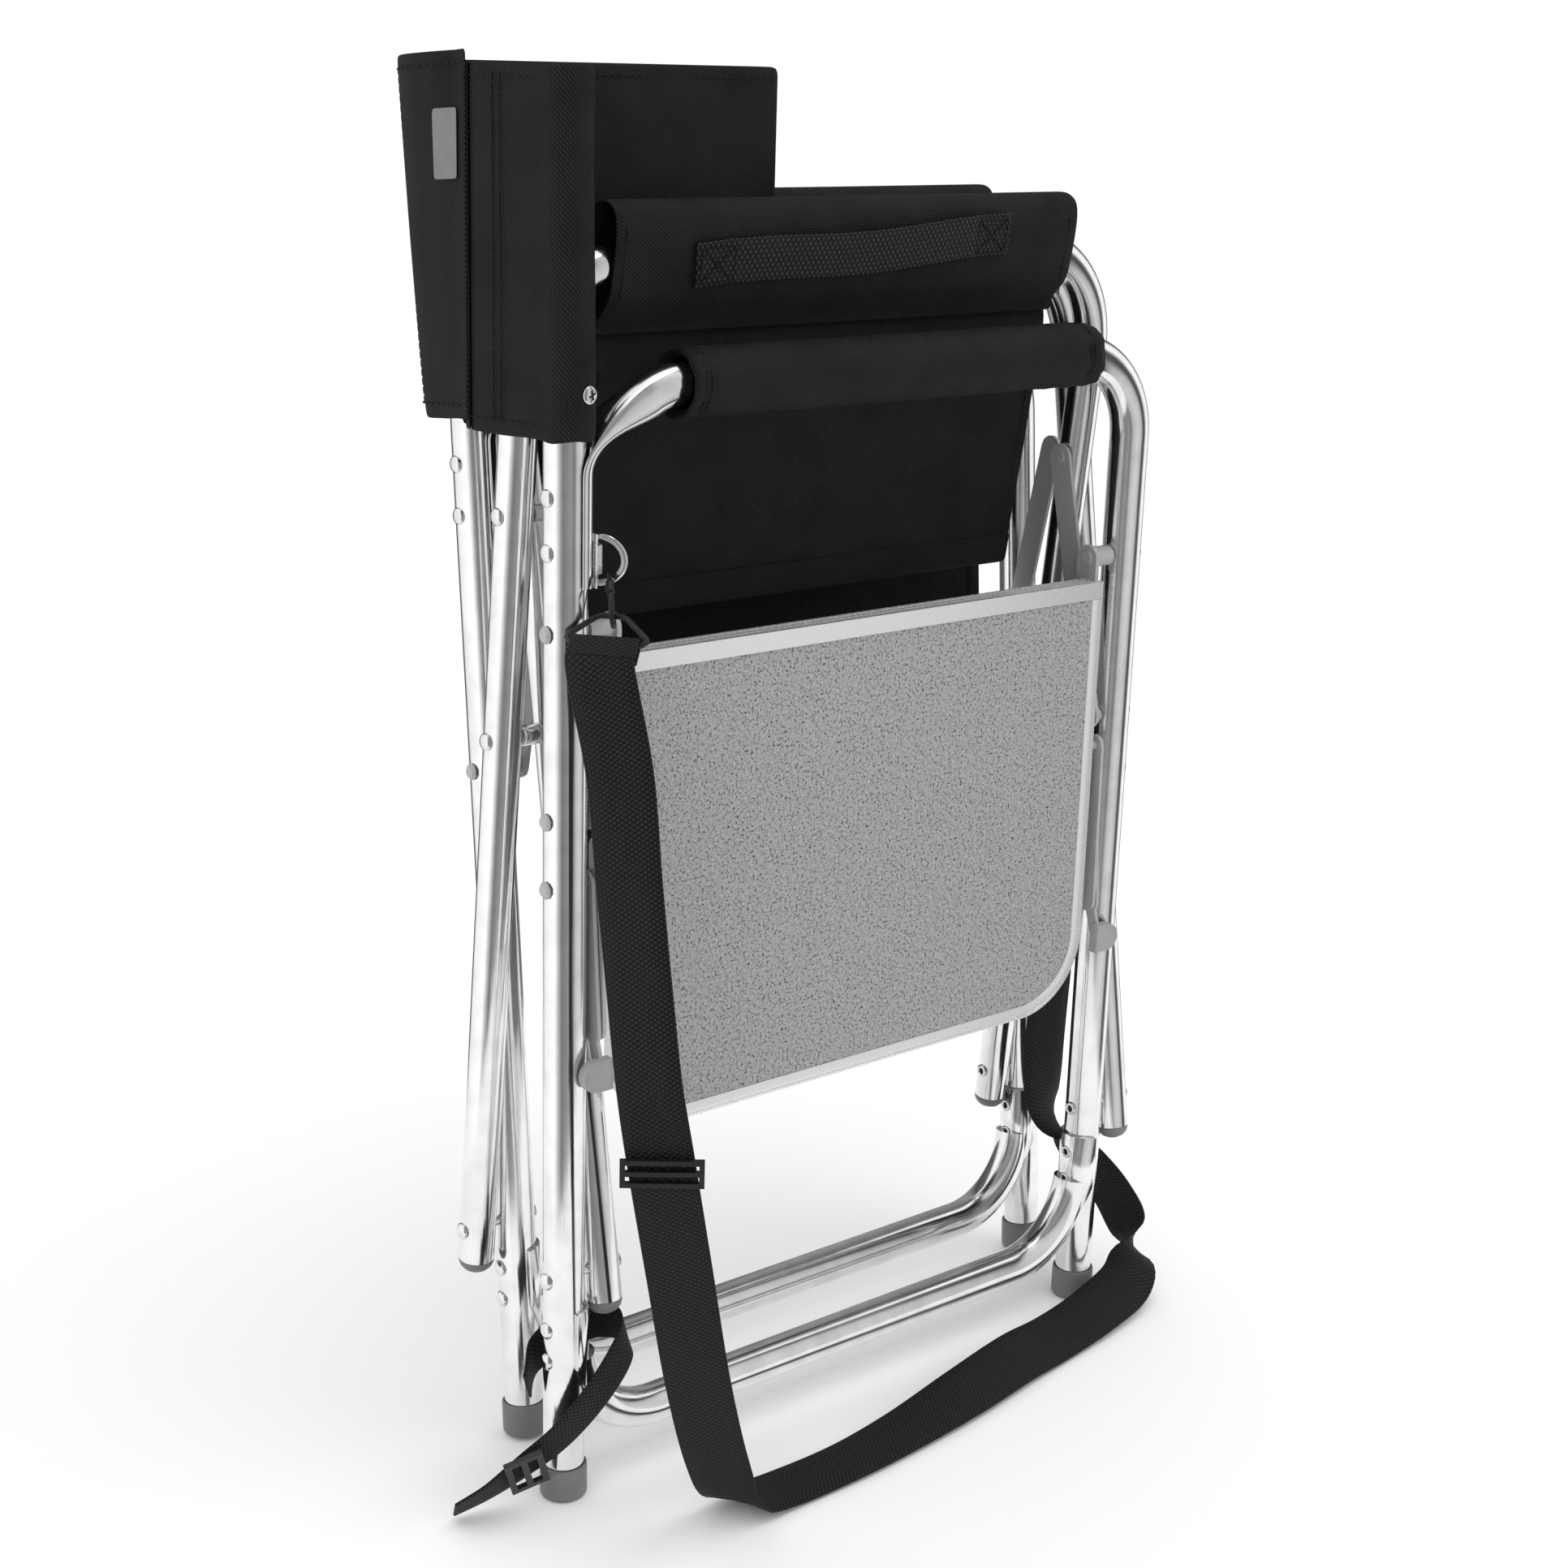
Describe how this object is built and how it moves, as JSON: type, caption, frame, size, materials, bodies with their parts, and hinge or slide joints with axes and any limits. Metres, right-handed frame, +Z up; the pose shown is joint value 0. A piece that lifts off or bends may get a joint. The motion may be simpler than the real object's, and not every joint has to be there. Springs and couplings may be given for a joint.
{
  "type": "folding camp chair with side table",
  "caption": "Folding directors chair: two side frames on a scissor, hung cloth seat and back, drop table with folding braces, carry strap.",
  "frame": {"origin": "on the floor, under the middle of the folded chair without its strap", "axes": "+Z up, -Y the way a sitter faces, -X the side of the drop table"},
  "size_m": [0.2711, 0.5591, 0.8404],
  "materials": {
    "polished_tube": "polished",
    "grey_plastic": "moulded, matte",
    "black_cloth": "woven polyester twill",
    "webbing": "flat woven webbing",
    "grey_bar": "satin grey",
    "satin_aluminium": "satin anodised",
    "laminate": "speckled light grey laminate",
    "black_wire": "black coated",
    "black_plastic": "moulded black",
    "steel": "bright zinc"
  },
  "bodies": {
    "near_frame": {"near_rear_post": "polished_tube", "near_arm_tube": "polished_tube", "near_floor_rail": "polished_tube", "near_rear_foot": "grey_plastic", "near_front_foot": "grey_plastic", "near_post_plug": "grey_plastic", "near_arm_pad": "black_cloth", "near_rear_pivot": "steel", "near_front_pivot": "steel", "ring_plate": "satin_aluminium", "d_ring": "steel", "shoulder_strap": "webbing", "strap_wire_loop": "black_wire", "snap_hook": "black_wire", "strap_slider": "black_wire", "front_strap_anchor": "satin_aluminium", "tie_strap": "webbing", "tie_buckle": "black_plastic"},
    "near_foot_seat": {"near_foot_seat_tube": "polished_tube", "near_foot_seat_rear_cap": "grey_plastic", "near_foot_seat_front_cap": "grey_plastic", "rear_crossing_pin": "steel", "front_crossing_pin": "steel"},
    "far_foot_seat": {"far_foot_seat_tube": "polished_tube", "far_foot_seat_rear_cap": "grey_plastic", "far_foot_seat_front_cap": "grey_plastic"},
    "far_frame": {"far_rear_post": "polished_tube", "far_arm_tube": "polished_tube", "far_floor_rail": "polished_tube", "far_rear_foot": "grey_plastic", "far_front_foot": "grey_plastic", "far_post_plug": "grey_plastic", "far_arm_pad": "black_cloth", "far_rear_pivot": "steel", "far_front_pivot": "steel", "organiser_panel": "black_cloth"},
    "near_links": {"near_rear_link": "grey_bar", "near_front_link": "grey_bar"},
    "far_links": {"far_rear_link": "grey_bar", "far_front_link": "grey_bar"},
    "seat_near": {"seat_near_panel": "black_cloth", "carry_handle": "webbing"},
    "seat_far": {"seat_far_panel": "black_cloth"},
    "back_near_side": {"back_near_sleeve": "black_cloth"},
    "back_near": {"back_near_panel": "black_cloth"},
    "back_far_side": {"back_far_sleeve": "black_cloth"},
    "back_far": {"back_far_panel": "black_cloth"},
    "table": {"table_board": "laminate", "table_rim": "satin_aluminium", "table_hinge_rail": "satin_aluminium", "table_rear_tab": "grey_bar", "table_front_tab": "grey_bar"},
    "brace_leg_bars": {"rear_brace_leg_bar": "grey_bar", "front_brace_leg_bar": "grey_bar"},
    "brace_table_bars": {"rear_brace_table_bar": "grey_bar", "front_brace_table_bar": "grey_bar"}
  },
  "joints": [
    {"name": "seat_scissor", "type": "hinge", "parent": "near_frame", "child": "near_foot_seat", "pos_m": [-0.06975, 0.00335, 0.145], "axis": [0, 1, 0], "range_deg": [0, 49.57]},
    {"name": "scissor_crossing", "type": "hinge", "parent": "near_foot_seat", "child": "far_foot_seat", "pos_m": [-0.01675, 0.00335, 0.464], "axis": [0, 1, 0], "range_deg": [-102.77, 0]},
    {"name": "far_frame_pivot", "type": "hinge", "parent": "far_foot_seat", "child": "far_frame", "pos_m": [0.01425, -0.01565, 0.145], "axis": [0, 1, 0], "range_deg": [0, 48.17]},
    {"name": "near_link_pivot", "type": "hinge", "parent": "near_frame", "child": "near_links", "pos_m": [-0.06975, 0.00335, 0.429], "axis": [0, 1, 0], "range_deg": [0, 93]},
    {"name": "far_link_pivot", "type": "hinge", "parent": "far_frame", "child": "far_links", "pos_m": [0.03895, -0.01565, 0.42862], "axis": [0, 1, 0], "range_deg": [-90.76, 0]},
    {"name": "seat_near_hang", "type": "hinge", "parent": "far_foot_seat", "child": "seat_near", "pos_m": [0.00215, 0.00335, 0.74688], "axis": [0, 1, 0], "range_deg": [-27.35, 0], "deforming": ["seat_near_panel"]},
    {"name": "seat_fold", "type": "hinge", "parent": "seat_near", "child": "seat_far", "pos_m": [-0.00675, 0.00335, 0.527], "axis": [0, 1, 0], "range_deg": [0, 161.76], "deforming": ["seat_far_panel"]},
    {"name": "back_near_turn", "type": "hinge", "parent": "near_frame", "child": "back_near_side", "pos_m": [-0.06975, 0.22035, 0.74], "axis": [0, 0, 1], "range_deg": [-6.28, 0], "deforming": ["back_near_sleeve"]},
    {"name": "back_near_seam", "type": "hinge", "parent": "back_near_side", "child": "back_near", "pos_m": [-0.01575, 0.24735, 0.74], "axis": [0, 0, 1], "range_deg": [0, 99.63], "deforming": ["back_near_panel"]},
    {"name": "back_far_turn", "type": "hinge", "parent": "far_frame", "child": "back_far_side", "pos_m": [0.06601, 0.20135, 0.73794], "axis": [0.0872, 0, 0.9962], "range_deg": [0, 8.39], "deforming": ["back_far_sleeve"]},
    {"name": "back_far_seam", "type": "hinge", "parent": "back_far_side", "child": "back_far", "pos_m": [-0.00115, 0.24435, 0.74], "axis": [0.0872, 0, 0.9962], "range_deg": [-106.05, 0], "deforming": ["back_far_panel"]},
    {"name": "table_hinge", "type": "hinge", "parent": "near_frame", "child": "table", "pos_m": [-0.06975, 0.00335, 0.536], "axis": [0, 1, 0], "range_deg": [0, 90]},
    {"name": "brace_leg_pivot", "type": "hinge", "parent": "near_frame", "child": "brace_leg_bars", "pos_m": [-0.06975, 0.00335, 0.389], "axis": [0, 1, 0], "range_deg": [0, 128.27]},
    {"name": "brace_table_pivot", "type": "hinge", "parent": "table", "child": "brace_table_bars", "pos_m": [-0.07525, 0.00335, 0.41], "axis": [0, 1, 0], "range_deg": [-124.14, 0]}
  ],
  "couplings": [
    {"joint": "scissor_crossing", "follows": "seat_scissor", "ratio": -2.0721},
    {"joint": "far_frame_pivot", "follows": "seat_scissor", "ratio": 0.97123},
    {"joint": "near_link_pivot", "follows": "seat_scissor", "ratio": 1.8752},
    {"joint": "far_link_pivot", "follows": "seat_scissor", "ratio": -1.8301},
    {"joint": "seat_near_hang", "follows": "seat_scissor", "ratio": -0.55156},
    {"joint": "seat_fold", "follows": "seat_scissor", "ratio": 3.2617},
    {"joint": "back_near_turn", "follows": "seat_scissor", "ratio": -0.12654},
    {"joint": "back_near_seam", "follows": "seat_scissor", "ratio": 2.0089},
    {"joint": "back_far_turn", "follows": "seat_scissor", "ratio": 0.1692},
    {"joint": "back_far_seam", "follows": "seat_scissor", "ratio": -2.1383},
    {"joint": "brace_leg_pivot", "follows": "table_hinge", "ratio": 1.4246},
    {"joint": "brace_table_pivot", "follows": "table_hinge", "ratio": -1.3787}
  ]
}
